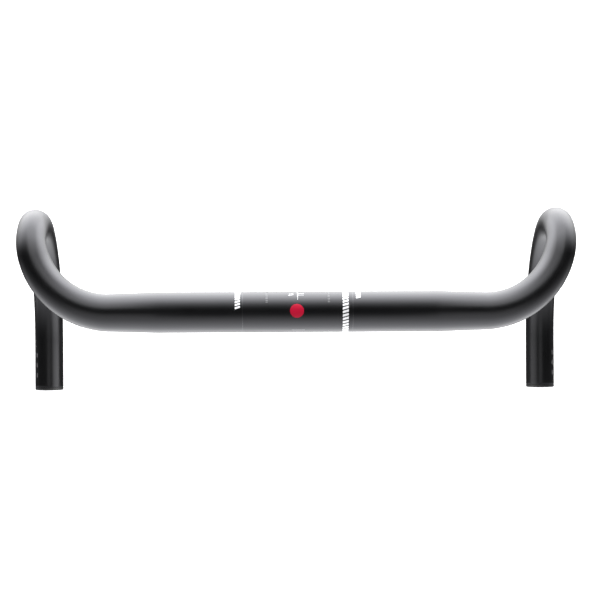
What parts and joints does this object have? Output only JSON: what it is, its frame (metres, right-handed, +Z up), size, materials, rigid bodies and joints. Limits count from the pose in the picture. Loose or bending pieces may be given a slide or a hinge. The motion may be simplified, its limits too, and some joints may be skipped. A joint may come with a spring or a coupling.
{
  "type": "drop handlebar",
  "caption": "Bare drop handlebar of bent round tube with an oversize clamp zone, short ramps, compact hooks and expander plugs in its open ends.",
  "frame": {"origin": "middle of the clamp zone, on the tube's axis", "axes": "+X to the rider's right along the tops, +Y forward towards the hooks, +Z up, as the bar sits on a bicycle"},
  "size_m": [0.4438, 0.1428, 0.1526],
  "materials": {
    "satin_black_tube": "satin",
    "black_plastic_cap": "matte",
    "black_rubber": "matte",
    "grey_nylon": "matte",
    "black_steel": "satin",
    "zinc_steel": "satin"
  },
  "bodies": {
    "bar": {"handlebar_tube": "satin_black_tube"},
    "right_plug": {"right_end_cap": "black_plastic_cap", "right_washer": "zinc_steel", "right_expander_sleeve": "black_rubber"},
    "right_screw": {"right_screw": "black_steel"},
    "right_wedge": {"right_wedge_nut": "grey_nylon"},
    "left_plug": {"left_end_cap": "black_plastic_cap", "left_washer": "zinc_steel", "left_expander_sleeve": "black_rubber"},
    "left_screw": {"left_screw": "black_steel"},
    "left_wedge": {"left_wedge_nut": "grey_nylon"}
  },
  "joints": [
    {"name": "right_plug_slide", "type": "slide", "parent": "bar", "child": "right_plug", "axis": [0, -0.9954, -0.0958], "range_m": [0, 0.045]},
    {"name": "right_screw_turn", "type": "hinge", "parent": "right_plug", "child": "right_screw", "pos_m": [0.21, -0.05175, -0.12476], "axis": [0, -0.9954, -0.0958], "range_deg": [0, 1080]},
    {"name": "right_wedge_travel", "type": "slide", "parent": "right_plug", "child": "right_wedge", "axis": [0, 0.9954, 0.0958], "range_m": [0, 0.0024]},
    {"name": "left_plug_slide", "type": "slide", "parent": "bar", "child": "left_plug", "axis": [0, -0.9954, -0.0958], "range_m": [0, 0.045]},
    {"name": "left_screw_turn", "type": "hinge", "parent": "left_plug", "child": "left_screw", "pos_m": [-0.21, -0.05175, -0.12476], "axis": [0, -0.9954, -0.0958], "range_deg": [0, 1080]},
    {"name": "left_wedge_travel", "type": "slide", "parent": "left_plug", "child": "left_wedge", "axis": [0, 0.9954, 0.0958], "range_m": [0, 0.0024]}
  ],
  "couplings": [
    {"joint": "right_screw_turn", "follows": "right_wedge_travel", "rad_per_m": 7854},
    {"joint": "left_screw_turn", "follows": "left_wedge_travel", "rad_per_m": 7854}
  ]
}
